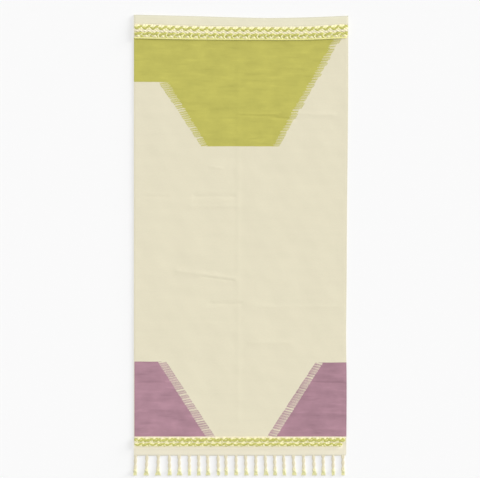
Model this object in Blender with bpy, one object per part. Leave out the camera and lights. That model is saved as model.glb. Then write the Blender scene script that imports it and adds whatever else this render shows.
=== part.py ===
# Kilim runner lying face up: one flat woven cloth, four plaits sewn across its ends, and a row of tassels.
# X runs across the runner, Y along it with the hemmed end at +Y, and Z up. Sizes are in metres.
import math

import bmesh
import bpy

# Overall place: the origin is under the middle of the whole runner, tassels included.
HALF_WIDTH = 0.3025  # the first tassel's foot on the left, the hem's corner on the right
HALF_LENGTH = 0.6487  # the hem's fold at +Y, the longest tassel's foot at -Y
SEAM_GAP = 0.0003  # between two pieces that touch

# Woven cloth
LEFT_EDGE_X = -0.3000
FRINGED_EDGE_Y = -0.5910
CLOTH_LENGTH = HALF_LENGTH - FRINGED_EDGE_Y
CLOTH_THICKNESS = 0.003
EDGE_THICKNESS = 0.0018  # the cloth thins over its last threads
EDGE_ROLL = 0.003  # width of that thinner edge
CORNER_RADIUS = 0.005  # at the right of the fringed edge
HEM_DEPTH = 0.0255  # the end turned under and sewn flat, two layers thick
HEM_THICKNESS = 0.0055
HEM_STEP = 0.0012  # the length over which the hem drops to the single cloth
HEM_FOLD_THICKNESS = 0.0034
ROW_SPACING = 0.055  # at most, between two rows of points
ROW_APART = 0.0006  # at least
COLUMN_COUNT = 20

# The right side draws in: distance from the fringed edge, and draw-in from the hem's corner.
RIGHT_DRAW_IN = [
    (0.000, 0.0054),
    (0.198, 0.0044),
    (0.339, 0.0058),
    (0.494, 0.0044),
    (0.719, 0.0030),
    (0.927, 0.0008),
    (1.028, 0.0000),
    (1.240, 0.0000),
]

# The hemmed end bows towards the middle. Each line across it starts at this distance from the fringed edge,
UPPER_PLAIT_LINE = 1.2046
LOWER_PLAIT_LINE = 1.1840
BLOCK_LINE = 1.1716
BOW_ENDS_AT = 0.950
# and sags by this much: fraction across, hem's fold, upper plait, lower plait, colour block's top.
FOLD_BOW, UPPER_BOW, LOWER_BOW, BLOCK_BOW = 1, 2, 3, 4
NO_BOW = 0
BOW = [
    (0.00, 0.0000, 0.0000, 0.0000, 0.0000),
    (0.30, 0.0044, 0.0060, 0.0042, 0.0026),
    (0.60, 0.0081, 0.0066, 0.0046, 0.0028),
    (0.80, 0.0064, 0.0054, 0.0036, 0.0022),
    (1.00, 0.0022, -0.0016, -0.0022, -0.0030),
]

# Soft creases left by folding: name, start x, start along, end x, end along, half width, height.
CREASES = [
    ("lengthwise", -0.007, 0.100, -0.007, 1.130, 0.014, 0.0005),
    ("upper cross", -0.002, 0.9620, 0.260, 0.9600, 0.014, 0.0008),
    ("middle trough", -0.128, 0.7290, -0.021, 0.7290, 0.014, -0.0008),
    ("middle ridge", -0.140, 0.7010, -0.010, 0.7010, 0.014, 0.0006),
    ("slanting", -0.178, 0.5204, -0.016, 0.4993, 0.014, 0.0010),
    ("lower trough", -0.086, 0.4270, -0.002, 0.4270, 0.012, -0.0007),
    ("lower ridge", 0.060, 0.4205, 0.285, 0.4205, 0.014, 0.0007),
    ("foot ridge", 0.025, 0.3190, 0.139, 0.3190, 0.014, 0.0007),
    ("left fold", -0.290, 0.2110, -0.215, 0.2110, 0.010, 0.0006),
    ("right fold", 0.205, 0.2082, 0.290, 0.2082, 0.010, 0.0007),
    ("left corner", -0.270, 0.1300, -0.150, 0.1300, 0.014, 0.0006),
    ("right corner", 0.150, 0.1240, 0.270, 0.1240, 0.014, 0.0006),
]

# Plaits of three strands, lying on the cloth
PLAIT_SEAT = CLOTH_THICKNESS + SEAM_GAP
PLAIT_HEIGHT = 0.0066
PLAIT_HOLLOW = 0.0044  # height where a strand dives under the next
PLAIT_SCALLOP = 0.0011  # how far the side draws in between two strands
PLAIT_SHOULDER = 0.30  # where the high shoulder lies, as a part of the width
PLAIT_END_HEIGHT = 0.62  # where the strands are sewn down at its ends, as a part of the height
PLAIT_STRANDS = 3
STEPS_PER_STRAND = 2
# Name, width, one strand's whole wave, line, bow column, gap to the left edge, gap to the right edge.
PLAITS = [
    ("plait_top_upper", 0.0140, 0.0231, UPPER_PLAIT_LINE, UPPER_BOW, 0.0010, 0.0015),
    ("plait_top_lower", 0.0140, 0.0232, LOWER_PLAIT_LINE, LOWER_BOW, 0.0010, 0.0020),
    ("plait_bottom_upper", 0.0131, 0.0218, 0.0446, NO_BOW, 0.0012, 0.0025),
    ("plait_bottom_lower", 0.0131, 0.0214, 0.0311, NO_BOW, 0.0016, 0.0105),
]

# Tassels: a twisted neck, a knot and a brush of loose yarn ends
FIRST_TASSEL_X = -0.2952
LAST_TASSEL_X = 0.2876
TASSEL_LENGTH = HALF_LENGTH + FRINGED_EDGE_Y
KNOT_END = 0.0450
NECK_SIDES = 8
NECK_TURN = 0.026  # length of one full turn of its two plies
NECK_PHASE = 1.3  # radians by which each tassel's twist starts after the last one's
PLY_DEPTH = 0.26  # depth of the groove between the plies, as a part of the radius
# Distance from the cloth, width, height and depth of the twist (0 to 1).
TASSEL_SECTIONS = [
    (0.0003, 0.0110, 0.0030, 0.0),
    (0.0030, 0.0094, 0.0046, 0.5),
    (0.0070, 0.0086, 0.0056, 1.0),
    (0.0110, 0.0084, 0.0058, 1.0),
    (0.0155, 0.0084, 0.0058, 1.0),
    (0.0200, 0.0084, 0.0058, 1.0),
    (0.0245, 0.0084, 0.0058, 1.0),
    (0.0290, 0.0084, 0.0058, 1.0),
    (0.0335, 0.0084, 0.0058, 1.0),
    (0.0375, 0.0080, 0.0056, 0.4),
    (0.0396, 0.0104, 0.0072, 0.0),
    (0.0430, 0.0108, 0.0074, 0.0),
]
BRUSH_ROOT_WIDTH = 0.0078
BRUSH_ROOT_HEIGHT = 0.0036
BRUSH_ROOT_LIFT = 0.0014
STRAND_PITCH = 0.0022  # at the tips, which sets how many strands fill a brush
STRAND_INSET = 0.00015  # half the gap between two strands at their roots
STRAND_SPREAD_AT = 0.45  # where the strands reach the floor, as a part of the brush
STRAND_MIDDLE_HEIGHT = 0.0026
STRAND_TIP_HEIGHT = 0.0018
STRAND_FILL = 0.74  # a strand's width as a part of its share of the tip
FEWEST_STRANDS = 4
TIP_UNEVENNESS = 0.0022  # the shortest strand's lag behind the longest
UNEVEN_BY_STRAND = 2.4  # radians, so that neighbours differ
UNEVEN_BY_TASSEL = 1.7
# Shift from even spacing, lean of the foot, width of the brush, one row for each tassel from the left.
TASSELS = [
    (0.0000, -0.0017, 0.0113),
    (0.0042, -0.0023, 0.0169),
    (0.0083, -0.0014, 0.0188),
    (0.0112, 0.0014, 0.0127),
    (0.0111, 0.0011, 0.0174),
    (0.0117, 0.0008, 0.0092),
    (0.0107, 0.0003, 0.0121),
    (0.0079, 0.0017, 0.0146),
    (0.0098, 0.0011, 0.0094),
    (0.0036, 0.0017, 0.0101),
    (0.0046, 0.0008, 0.0132),
    (0.0035, 0.0025, 0.0138),
    (0.0048, 0.0003, 0.0124),
    (0.0032, 0.0031, 0.0163),
    (0.0019, 0.0020, 0.0127),
    (-0.0003, 0.0023, 0.0115),
    (-0.0010, 0.0034, 0.0152),
    (0.0002, 0.0008, 0.0155),
    (0.0004, 0.0031, 0.0163),
    (-0.0002, 0.0008, 0.0146),
    (0.0000, 0.0008, 0.0093),
    (0.0000, 0.0008, 0.0101),
]

# Colours, linear RGB
CREAM = (0.79, 0.74, 0.60)
LIME_AND_CREAM = (0.66, 0.64, 0.26)
YARN_CREAM = (0.77, 0.72, 0.50)


def clear_scene():
    for obj in list(bpy.data.objects):
        bpy.data.objects.remove(obj, do_unlink=True)


def make_material(name, colour):
    material = bpy.data.materials.new(name)
    material.use_nodes = True
    shader = material.node_tree.nodes["Principled BSDF"]
    shader.inputs["Base Color"].default_value = (*colour, 1.0)
    shader.inputs["Roughness"].default_value = 0.92
    shader.inputs["Metallic"].default_value = 0.0
    return material


def add_piece(name, bm, material):
    bmesh.ops.recalc_face_normals(bm, faces=bm.faces)
    mesh = bpy.data.meshes.new(name)
    bm.to_mesh(mesh)
    bm.free()
    mesh.materials.append(material)
    mesh.shade_smooth()
    mesh.set_sharp_from_angle(angle=math.radians(50))
    obj = bpy.data.objects.new(name, mesh)
    bpy.context.scene.collection.objects.link(obj)
    return obj


def read_smoothly(rows, at, column=1):
    """A smooth curve through one column of a table, whose first column rises."""
    last = len(rows) - 1
    place = max(0, min(last - 1, sum(1 for row in rows if row[0] <= at) - 1))

    def slope(i):
        before = rows[max(i - 1, 0)]
        after = rows[min(i + 1, last)]
        return (after[column] - before[column]) / (after[0] - before[0])

    here, there = rows[place], rows[place + 1]
    span = there[0] - here[0]
    t = max(0.0, min(1.0, (at - here[0]) / span))
    return (
        here[column] * (2 * t**3 - 3 * t**2 + 1)
        + there[column] * (3 * t**2 - 2 * t**3)
        + slope(place) * span * (t**3 - 2 * t**2 + t)
        + slope(place + 1) * span * (t**3 - t**2)
    )


def right_edge_x(along):
    edge = HALF_WIDTH - read_smoothly(RIGHT_DRAW_IN, along)
    if along < CORNER_RADIUS:
        reach = CORNER_RADIUS - along
        edge -= CORNER_RADIUS - math.sqrt(CORNER_RADIUS**2 - reach**2)
    return edge


def sag(across, along):
    """How far a thread that crosses the runner drops below its left end."""
    lines = [
        (BOW_ENDS_AT, 0.0),
        (BLOCK_LINE, read_smoothly(BOW, across, BLOCK_BOW)),
        (LOWER_PLAIT_LINE, read_smoothly(BOW, across, LOWER_BOW)),
        (UPPER_PLAIT_LINE, read_smoothly(BOW, across, UPPER_BOW)),
        (CLOTH_LENGTH, read_smoothly(BOW, across, FOLD_BOW)),
    ]
    for (low, sag_below), (high, sag_above) in zip(lines, lines[1:]):
        if low < along <= high:
            part = (along - low) / (high - low)
            return sag_below * (1 - part) + sag_above * part
    return 0.0


def cloth_point(across, along):
    x = LEFT_EDGE_X + across * (right_edge_x(along) - LEFT_EDGE_X)
    return x, FRINGED_EDGE_Y + along - sag(across, along)


def crease_height(x, along):
    total = 0.0
    for _, x0, along0, x1, along1, half_width, height in CREASES:
        length_squared = (x1 - x0) ** 2 + (along1 - along0) ** 2
        t = ((x - x0) * (x1 - x0) + (along - along0) * (along1 - along0)) / length_squared
        t = max(0.0, min(1.0, t))
        distance = math.hypot(x - x0 - t * (x1 - x0), along - along0 - t * (along1 - along0))
        if distance < half_width:
            total += height * (1 - (distance / half_width) ** 2) ** 2
    return total


def cloth_top(across, along):
    """Height of the cloth's upper face."""
    from_fold = CLOTH_LENGTH - along
    width = right_edge_x(along) - LEFT_EDGE_X
    from_side = min(across, 1 - across) * width
    if from_fold <= 0:
        return HEM_FOLD_THICKNESS
    if from_fold <= HEM_DEPTH:
        return HEM_THICKNESS if from_side > EDGE_ROLL / 2 else HEM_FOLD_THICKNESS
    if from_side < EDGE_ROLL / 2 or along < EDGE_ROLL / 2:
        return EDGE_THICKNESS
    return CLOTH_THICKNESS + crease_height(LEFT_EDGE_X + across * width, along)


def cloth_rows():
    """Distances from the fringed edge at which the cloth has a row of points."""
    fixed = [0.0, CORNER_RADIUS * 0.25, EDGE_ROLL, CORNER_RADIUS, BOW_ENDS_AT, BLOCK_LINE, LOWER_PLAIT_LINE]
    fixed += [UPPER_PLAIT_LINE, CLOTH_LENGTH - HEM_DEPTH - HEM_STEP, CLOTH_LENGTH - HEM_DEPTH]
    fixed += [CLOTH_LENGTH - EDGE_ROLL, CLOTH_LENGTH]
    for _, _, along0, _, along1, half_width, _ in CREASES[1:]:
        middle = (along0 + along1) / 2
        fixed += [middle - half_width, middle, middle + half_width]
    rows = []
    for row in sorted(fixed):
        if not rows or row - rows[-1] > ROW_APART:
            rows.append(row)
    filled = []
    for a, b in zip(rows, rows[1:]):
        steps = max(1, math.ceil((b - a) / ROW_SPACING))
        filled += [a + (b - a) * i / steps for i in range(steps)]
    return filled + [rows[-1]]


def cloth_columns():
    """Fractions across at which the cloth has a column of points."""
    width = HALF_WIDTH - LEFT_EDGE_X
    middle = (CREASES[0][1] - LEFT_EDGE_X) / width
    beside = CREASES[0][5] / width
    roll = EDGE_ROLL / width
    even = [i / COLUMN_COUNT for i in range(1, COLUMN_COUNT)]
    even = [a for a in even if abs(a - middle) > 1.5 * beside]
    return sorted(even + [0.0, roll, middle - beside, middle, middle + beside, 1 - roll, 1.0])


def build_cloth(material):
    bm = bmesh.new()
    rows = cloth_rows()
    columns = cloth_columns()
    top = [[bm.verts.new((*cloth_point(a, s), cloth_top(a, s))) for a in columns] for s in rows]
    last_row = len(rows) - 1
    last_column = len(columns) - 1

    def under(row, column):
        x, y, _ = top[row][column].co
        return bm.verts.new((x, y, 0.0))

    left = [under(i, 0) for i in range(last_row + 1)]
    right = [under(i, last_column) for i in range(last_row + 1)]
    near = [left[0]] + [under(0, j) for j in range(1, last_column)] + [right[0]]
    far = [left[-1]] + [under(last_row, j) for j in range(1, last_column)] + [right[-1]]
    for i in range(last_row):
        for j in range(last_column):
            bm.faces.new((top[i][j], top[i][j + 1], top[i + 1][j + 1], top[i + 1][j]))
        bm.faces.new((top[i][0], top[i + 1][0], left[i + 1], left[i]))
        bm.faces.new((top[i][-1], right[i], right[i + 1], top[i + 1][-1]))
    for j in range(last_column):
        bm.faces.new((top[0][j], near[j], near[j + 1], top[0][j + 1]))
        bm.faces.new((top[-1][j], top[-1][j + 1], far[j + 1], far[j]))
    for i in range(1, last_row - 1):
        bm.faces.new((left[i], left[i + 1], right[i + 1], right[i]))
    fan_under(bm, near, left[1], right[1])
    fan_under(bm, far, left[-2], right[-2])
    return add_piece("woven_cloth", bm, material)


def fan_under(bm, edge, left, right):
    """Closes the underside between an end's points and the next pair of side points."""
    middle = len(edge) // 2
    for j in range(len(edge) - 1):
        corner = left if j < middle else right
        bm.faces.new((corner, edge[j], edge[j + 1]))
    bm.faces.new((left, edge[middle], right))


def build_plait(row, material):
    name, width, wave, line, bow_column, left_gap, right_gap = row
    start_x = LEFT_EDGE_X + left_gap
    end_x = right_edge_x(line) - right_gap
    steps = round((end_x - start_x) / (wave / PLAIT_STRANDS / STEPS_PER_STRAND))
    cloth_width = right_edge_x(line) - LEFT_EDGE_X
    bm = bmesh.new()
    rings = []
    for i in range(steps + 1):
        x = start_x + (end_x - start_x) * i / steps
        y = FRINGED_EDGE_Y + line
        if bow_column != NO_BOW:
            y -= read_smoothly(BOW, (x - LEFT_EDGE_X) / cloth_width, bow_column)
        side = 1 if i % 2 else -1
        lift = PLAIT_END_HEIGHT if i in (0, steps) else 1.0
        half = width / 2
        shoulder = width * PLAIT_SHOULDER
        middle_height = (PLAIT_HEIGHT + PLAIT_HOLLOW) / 2
        profile = [
            (half * side, 0.0),
            (shoulder * side, PLAIT_HEIGHT * lift),
            (0.0, middle_height * lift),
            (-shoulder * side, PLAIT_HOLLOW * lift),
            (-(half - PLAIT_SCALLOP) * side, 0.0),
        ]
        profile.sort()
        rings.append([bm.verts.new((x, y + across, PLAIT_SEAT + z)) for across, z in profile])
    for a, b in zip(rings, rings[1:]):
        join_equal_rings(bm, a, b)
    bm.faces.new(rings[0])
    bm.faces.new(rings[-1])
    return add_piece(name, bm, material)


def join_equal_rings(bm, a, b):
    for k in range(len(a)):
        following = (k + 1) % len(a)
        bm.faces.new((a[k], a[following], b[following], b[k]))


def join_uneven_rings(bm, a, b):
    """Triangles between two closed rings that start at the same side and run the same way round."""
    i = j = 0
    while i < len(a) or j < len(b):
        if j == len(b) or (i < len(a) and (i + 1) / len(a) <= (j + 1) / len(b)):
            bm.faces.new((a[i % len(a)], a[(i + 1) % len(a)], b[j % len(b)]))
            i += 1
        else:
            bm.faces.new((a[i % len(a)], b[(j + 1) % len(b)], b[j % len(b)]))
            j += 1


def neck_ring(bm, root_x, lean, section, phase):
    """One ring of the neck or the knot, resting on z = 0, starting at its left side and running over the top."""
    distance, width, height, twist = section
    centre_x = root_x + lean * distance / TASSEL_LENGTH
    points = []
    for k in range(NECK_SIDES):
        angle = math.pi - 2 * math.pi * k / NECK_SIDES
        groove = math.cos(2 * (angle - phase - 2 * math.pi * distance / NECK_TURN))
        radius = 1 - PLY_DEPTH * twist * (1 - groove) / 2
        points.append((math.cos(angle) * width / 2 * radius, math.sin(angle) * height / 2 * radius))
    y = FRINGED_EDGE_Y - distance
    return [bm.verts.new((centre_x + across, y, height / 2 + up)) for across, up in points]


def brush_root(bm, root_x, lean, strand_count):
    """The knot's end: a low band split into one upright quad for each strand, left to right."""
    centre_x = root_x + lean * KNOT_END / TASSEL_LENGTH
    y = FRINGED_EDGE_Y - KNOT_END
    upper = []
    lower = []
    for i in range(strand_count + 1):
        x = centre_x + BRUSH_ROOT_WIDTH * (i / strand_count - 0.5)
        upper.append(bm.verts.new((x, y, BRUSH_ROOT_LIFT + BRUSH_ROOT_HEIGHT)))
        lower.append(bm.verts.new((x, y, BRUSH_ROOT_LIFT)))
    quads = [
        bm.faces.new((upper[i], upper[i + 1], lower[i + 1], lower[i])) for i in range(strand_count)
    ]
    ring = upper + lower[::-1]
    return ring, quads


def move_quad(face, centre_x, y, width, height):
    """Puts an upright quad at its new place, standing on z = 0."""
    middle = face.calc_center_median()
    for vert in face.verts:
        side = 1 if vert.co.x > middle.x else -1
        top = vert.co.z > middle.z
        vert.co = (centre_x + side * width / 2, y, height if top else 0.0)


def build_tassel(number, row, material):
    shift, lean, brush_width = row
    spacing = (LAST_TASSEL_X - FIRST_TASSEL_X) / (len(TASSELS) - 1)
    root_x = FIRST_TASSEL_X + spacing * number + shift
    bm = bmesh.new()
    rings = [neck_ring(bm, root_x, lean, section, number * NECK_PHASE) for section in TASSEL_SECTIONS]
    for a, b in zip(rings, rings[1:]):
        join_equal_rings(bm, a, b)
    bm.faces.new(rings[0])
    strand_count = max(FEWEST_STRANDS, round(brush_width / STRAND_PITCH))
    ring, quads = brush_root(bm, root_x, lean, strand_count)
    join_uneven_rings(bm, rings[-1], ring)
    for quad in quads:
        quad.normal_update()
    bmesh.ops.inset_individual(bm, faces=quads, thickness=STRAND_INSET, use_even_offset=True)
    share = brush_width / (strand_count - 1 + STRAND_FILL)
    brush_length = TASSEL_LENGTH - KNOT_END
    for i, quad in enumerate(quads):
        root = quad.calc_center_median().x
        tip = root_x + lean + share * (i + 0.5 - strand_count / 2)
        wave = math.sin(UNEVEN_BY_STRAND * i + UNEVEN_BY_TASSEL * number)
        is_longest = i == number % strand_count
        length = brush_length if is_longest else brush_length - TIP_UNEVENNESS * (1 + wave) / 2
        for part, height in ((STRAND_SPREAD_AT, STRAND_MIDDLE_HEIGHT), (1.0, STRAND_TIP_HEIGHT)):
            extruded = bmesh.ops.extrude_discrete_faces(bm, faces=[quad])["faces"]
            quad = extruded[0]
            root_share = BRUSH_ROOT_WIDTH / strand_count
            here_share = root_share + (share - root_share) * part
            x = root + (tip - root) * part
            y = FRINGED_EDGE_Y - KNOT_END - length * part
            move_quad(quad, x, y, here_share * STRAND_FILL, height)
    return add_piece(f"tassel_{number + 1:02d}", bm, material)


def main():
    clear_scene()
    build_cloth(make_material("woven_cotton", CREAM))
    plait_yarn = make_material("plait_yarn", LIME_AND_CREAM)
    for row in PLAITS:
        build_plait(row, plait_yarn)
    fringe_yarn = make_material("fringe_yarn", YARN_CREAM)
    for number, row in enumerate(TASSELS):
        build_tassel(number, row, fringe_yarn)


main()
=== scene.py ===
# Kilim runner lying face up on a pale floor, seen straight from above.
# X runs across the runner, Y along it with the hemmed end at +Y, and Z up. Sizes are in metres.
import math
import bpy
import numpy as np
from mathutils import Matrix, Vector


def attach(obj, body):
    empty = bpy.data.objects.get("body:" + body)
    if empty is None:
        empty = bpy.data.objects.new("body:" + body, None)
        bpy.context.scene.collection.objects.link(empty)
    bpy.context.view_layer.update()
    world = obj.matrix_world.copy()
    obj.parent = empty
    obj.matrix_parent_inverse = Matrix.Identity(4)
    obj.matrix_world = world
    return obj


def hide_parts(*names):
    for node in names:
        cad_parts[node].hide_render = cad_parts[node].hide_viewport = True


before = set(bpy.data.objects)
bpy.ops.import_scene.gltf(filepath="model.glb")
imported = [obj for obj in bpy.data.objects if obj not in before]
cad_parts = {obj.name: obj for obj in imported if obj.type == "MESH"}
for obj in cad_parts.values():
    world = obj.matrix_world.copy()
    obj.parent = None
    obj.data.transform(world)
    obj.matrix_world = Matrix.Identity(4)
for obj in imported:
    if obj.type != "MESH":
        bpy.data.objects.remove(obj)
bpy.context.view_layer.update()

scene = bpy.context.scene
print("frame loaded:", len(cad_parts), "nodes")


def addObject(name, data):
    made = bpy.data.objects.new(name, data)
    scene.collection.objects.link(made)
    return made


# Node trees, for materials and Geometry Nodes alike

class Wire:
    # One output in a node tree. Plain sums with it add the Math nodes that do them.
    def __init__(self, tree, socket):
        self.tree = tree
        self.socket = socket

    def calc(self, operation, *others, clamp=False):
        inputs = dict(enumerate((self, *others)))
        return Wire(self.tree, outputOf(self.tree, "ShaderNodeMath", inputs, operation=operation,
                                        use_clamp=clamp))

    def __add__(self, other):
        return self.calc("ADD", other)

    __radd__ = __add__

    def __sub__(self, other):
        return self.calc("SUBTRACT", other)

    def __rsub__(self, other):
        return (self * -1.0).calc("ADD", other)

    def __mul__(self, other):
        return self.calc("MULTIPLY", other)

    __rmul__ = __mul__

    def __truediv__(self, other):
        return self.calc("DIVIDE", other)

    def above(self, other):
        return self.calc("GREATER_THAN", other)

    def below(self, other):
        return self.calc("LESS_THAN", other)

    def floor(self):
        return self.calc("FLOOR")

    def turns(self):
        # The cosine of this many full turns.
        return (self * (2 * math.pi)).calc("COSINE")

    def most(self, other):
        return self.calc("MAXIMUM", other)

    def least(self, other):
        return self.calc("MINIMUM", other)

    def ramp(self, low, high, start=0.0, end=1.0):
        # Smooth from start to end as this goes from low to high.
        sizes = {"Value": self, "From Min": low, "From Max": high, "To Min": start, "To Max": end}
        node = addNode(self.tree, "ShaderNodeMapRange", sizes, interpolation_type="SMOOTHSTEP")
        return Wire(self.tree, node.outputs["Result"])


def feed(tree, socket, value):
    if isinstance(value, Wire):
        tree.links.new(value.socket, socket)
    elif isinstance(value, bpy.types.NodeSocket):
        tree.links.new(value, socket)
    else:
        socket.default_value = value


def addNode(tree, kind, inputs=None, **settings):
    node = tree.nodes.new(kind)
    for name, value in settings.items():
        setattr(node, name, value)
    for name, value in (inputs or {}).items():
        feed(tree, node.inputs[name], value)
    return node


def outputOf(tree, kind, inputs=None, **settings):
    return addNode(tree, kind, inputs, **settings).outputs[0]


def joinXYZ(tree, x, y, z):
    return Wire(tree, outputOf(tree, "ShaderNodeCombineXYZ", {"X": x, "Y": y, "Z": z}))


def splitXYZ(tree, vector):
    node = addNode(tree, "ShaderNodeSeparateXYZ", {0: vector})
    return [Wire(tree, output) for output in node.outputs]


def vectorCalc(tree, operation, *values):
    inputs = dict(enumerate(values))
    return Wire(tree, outputOf(tree, "ShaderNodeVectorMath", inputs, operation=operation))


def scaled(tree, vector, factor):
    inputs = {0: vector, "Scale": factor}
    return Wire(tree, outputOf(tree, "ShaderNodeVectorMath", inputs, operation="SCALE"))


# The cloth's own lines
# They are those of the CAD source, but for a little more bow on the right and finer creases.

cloth = {
    "leftEdgeX": -0.3000,
    "cornerX": 0.3025,  # the hem's corner on the right
    "fringedEdgeY": -0.5910,
    "length": 1.2397,
    "thickness": 0.0030,
    "edgeRoll": 0.0030,
    "cornerRadius": 0.005,
    "ringHeight": 0.0009,  # where the side is fullest
    "hemDepth": 0.0255,
    "hemThickness": 0.0055,
    "hemStep": 0.0024,
    "hemRingHeight": 0.0020,
    "foldRoll": 0.0045,
    "creaseCore": 0.45,  # a crease's sharp core, as a part of its width
    "creaseCoreShare": 0.35,  # and of its height
    "waveSpan": 1.24,
    "column": 0.0041,  # size of the mesh's cells, narrower along the runner for the creases
    "row": 0.0024,
    "nearEdge": (0.0, 0.0003, 0.0009, 0.0018),  # closer lines, where the edges roll over
    "nearFold": (0.0, 0.0003, 0.0010, 0.0020, 0.0032),
    "hemStepRows": 4,
    "underEvery": 8,  # the underside has one column for so many above
}

# distance from the fringed edge, draw-in of the right side
rightDrawIn = [
    (0.000, 0.0054),
    (0.198, 0.0044),
    (0.339, 0.0058),
    (0.494, 0.0044),
    (0.719, 0.0030),
    (0.927, 0.0008),
    (1.028, 0.0000),
    (1.240, 0.0000),
]

# lines across the hemmed end, and how far each sags at a fraction of the way across: the fold, the
# upper plait, the lower plait and the top of the colour block
upperPlaitLine = 1.2046
lowerPlaitLine = 1.1840
blockLine = 1.1716
bowEndsAt = 0.950
foldBow, upperBow, lowerBow, blockBow, noBow = 1, 2, 3, 4, 0
bow = [
    (0.00, 0.0000, -0.0006, -0.0002, -0.0002),
    (0.30, 0.0044, 0.0058, 0.0041, 0.0025),
    (0.60, 0.0092, 0.0076, 0.0053, 0.0032),
    (0.80, 0.0077, 0.0067, 0.0049, 0.0033),
    (1.00, 0.0028, -0.0004, -0.0009, -0.0015),
]

# start x, start along, end x, end along, half width, height
creases = [
    (-0.007, 0.100, -0.007, 1.130, 0.014, 0.0003),
    (-0.002, 0.9605, 0.260, 0.9585, 0.014, 0.0009),
    (-0.128, 0.7290, -0.021, 0.7290, 0.014, -0.0008),
    (-0.140, 0.7010, -0.010, 0.7010, 0.014, 0.0004),
    (-0.178, 0.5190, -0.016, 0.4979, 0.014, 0.0007),
    (-0.086, 0.4270, -0.002, 0.4270, 0.012, -0.0007),
    (0.060, 0.4190, 0.285, 0.4190, 0.014, 0.0003),
    (0.025, 0.3175, 0.139, 0.3175, 0.014, 0.0004),
    (-0.290, 0.2110, -0.215, 0.2110, 0.010, 0.0006),
    (0.205, 0.2082, 0.290, 0.2082, 0.010, 0.0007),
    (-0.270, 0.1300, -0.150, 0.1300, 0.014, 0.0006),
    (0.150, 0.1200, 0.270, 0.1200, 0.018, 0.0011),
    # fainter ones, too low for the CAD
    (-0.240, 1.1405, -0.195, 1.1425, 0.009, -0.00045),
    (-0.165, 1.1400, -0.115, 1.1415, 0.009, -0.00055),
    (-0.160, 0.9950, -0.100, 0.9920, 0.009, 0.00055),
    (0.090, 1.0950, 0.180, 1.0900, 0.009, 0.00030),
    (-0.085, 0.8130, -0.055, 0.8080, 0.007, 0.00040),
    (-0.268, 0.7300, -0.205, 0.7260, 0.010, -0.00030),
    # sharp lines along the folds, which the CAD has only as broad ones
    (-0.290, 0.2055, -0.215, 0.2060, 0.0048, -0.0014),
    (0.203, 0.2062, 0.292, 0.2047, 0.0048, -0.0018),
    (-0.110, 0.5035, -0.022, 0.4915, 0.0055, -0.0006),
    (-0.004, 0.9570, 0.100, 0.9540, 0.0048, -0.0009),
    (0.085, 0.9500, 0.156, 0.9460, 0.0048, -0.0010),
    (0.110, 0.9590, 0.190, 0.9580, 0.0048, -0.0006),
]

# the low, soft waves of a handwoven cloth: height, waves a metre across, waves along it, start
handWaves = [
    (0.00012, 9.0, 3.0, 0.4),
    (0.00010, 4.0, 14.0, 1.9),
    (0.00008, -11.0, 9.0, 3.1),
    (0.00006, 6.0, 27.0, 5.2),
    (0.00005, 21.0, 16.0, 0.9),
]


def readSmoothly(rows, at, column=1):
    # a smooth curve through one column of a table, whose first column rises
    known = np.array([row[0] for row in rows])
    value = np.array([row[column] for row in rows])
    last = len(rows) - 1
    before = np.maximum(np.arange(len(rows)) - 1, 0)
    after = np.minimum(np.arange(len(rows)) + 1, last)
    slope = (value[after] - value[before]) / (known[after] - known[before])
    place = np.clip(np.searchsorted(known, at, side="right") - 1, 0, last - 1)
    span = known[place + 1] - known[place]
    t = np.clip((at - known[place]) / span, 0, 1)
    return (
        value[place] * (2 * t**3 - 3 * t**2 + 1)
        + value[place + 1] * (3 * t**2 - 2 * t**3)
        + slope[place] * span * (t**3 - 2 * t**2 + t)
        + slope[place + 1] * span * (t**3 - t**2)
    )


def rightEdgeX(along):
    radius = cloth["cornerRadius"]
    reach = np.clip(radius - along, 0, radius)
    corner = radius - np.sqrt(radius**2 - reach**2)
    return cloth["cornerX"] - readSmoothly(rightDrawIn, along) - corner


def sag(across, along):
    # how far a thread that crosses the runner drops below its left end
    lines = [
        (bowEndsAt, 0.0 * across),
        (blockLine, readSmoothly(bow, across, blockBow)),
        (lowerPlaitLine, readSmoothly(bow, across, lowerBow)),
        (upperPlaitLine, readSmoothly(bow, across, upperBow)),
        (cloth["length"], readSmoothly(bow, across, foldBow)),
    ]
    total = 0.0 * across * along
    for (low, below), (high, above) in zip(lines, lines[1:]):
        part = (along - low) / (high - low)
        total = np.where((along > low) & (along <= high), below * (1 - part) + above * part, total)
    return total


def clothPoint(across, along):
    x = cloth["leftEdgeX"] + across * (rightEdgeX(along) - cloth["leftEdgeX"])
    return x, cloth["fringedEdgeY"] + along - sag(across, along)


def creaseHeight(x, along):
    total = 0.0 * x
    for x0, along0, x1, along1, halfWidth, height in creases:
        squared = (x1 - x0) ** 2 + (along1 - along0) ** 2
        t = np.clip(((x - x0) * (x1 - x0) + (along - along0) * (along1 - along0)) / squared, 0, 1)
        distance = np.hypot(x - x0 - t * (x1 - x0), along - along0 - t * (along1 - along0))
        broad = np.clip(1 - (distance / halfWidth) ** 2, 0, None) ** 2
        sharp = np.clip(1 - (distance / (cloth["creaseCore"] * halfWidth)) ** 2, 0, None) ** 2
        share = cloth["creaseCoreShare"]
        total = total + height * ((1 - share) * broad + share * sharp)
    return total


def unevenHand(x, along):
    total = 0
    for height, wavesAcross, wavesAlong, start in handWaves:
        angle = wavesAcross * 2 * math.pi * x + wavesAlong * 2 * math.pi * along / cloth["waveSpan"]
        total = total + height * np.sin(angle + start)
    return total


def rolled(distance, roll):
    # 0 at the edge to 1 past the roll, round like a quarter circle
    return np.sqrt(1 - (1 - np.clip(distance / roll, 0, 1)) ** 2)


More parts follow.
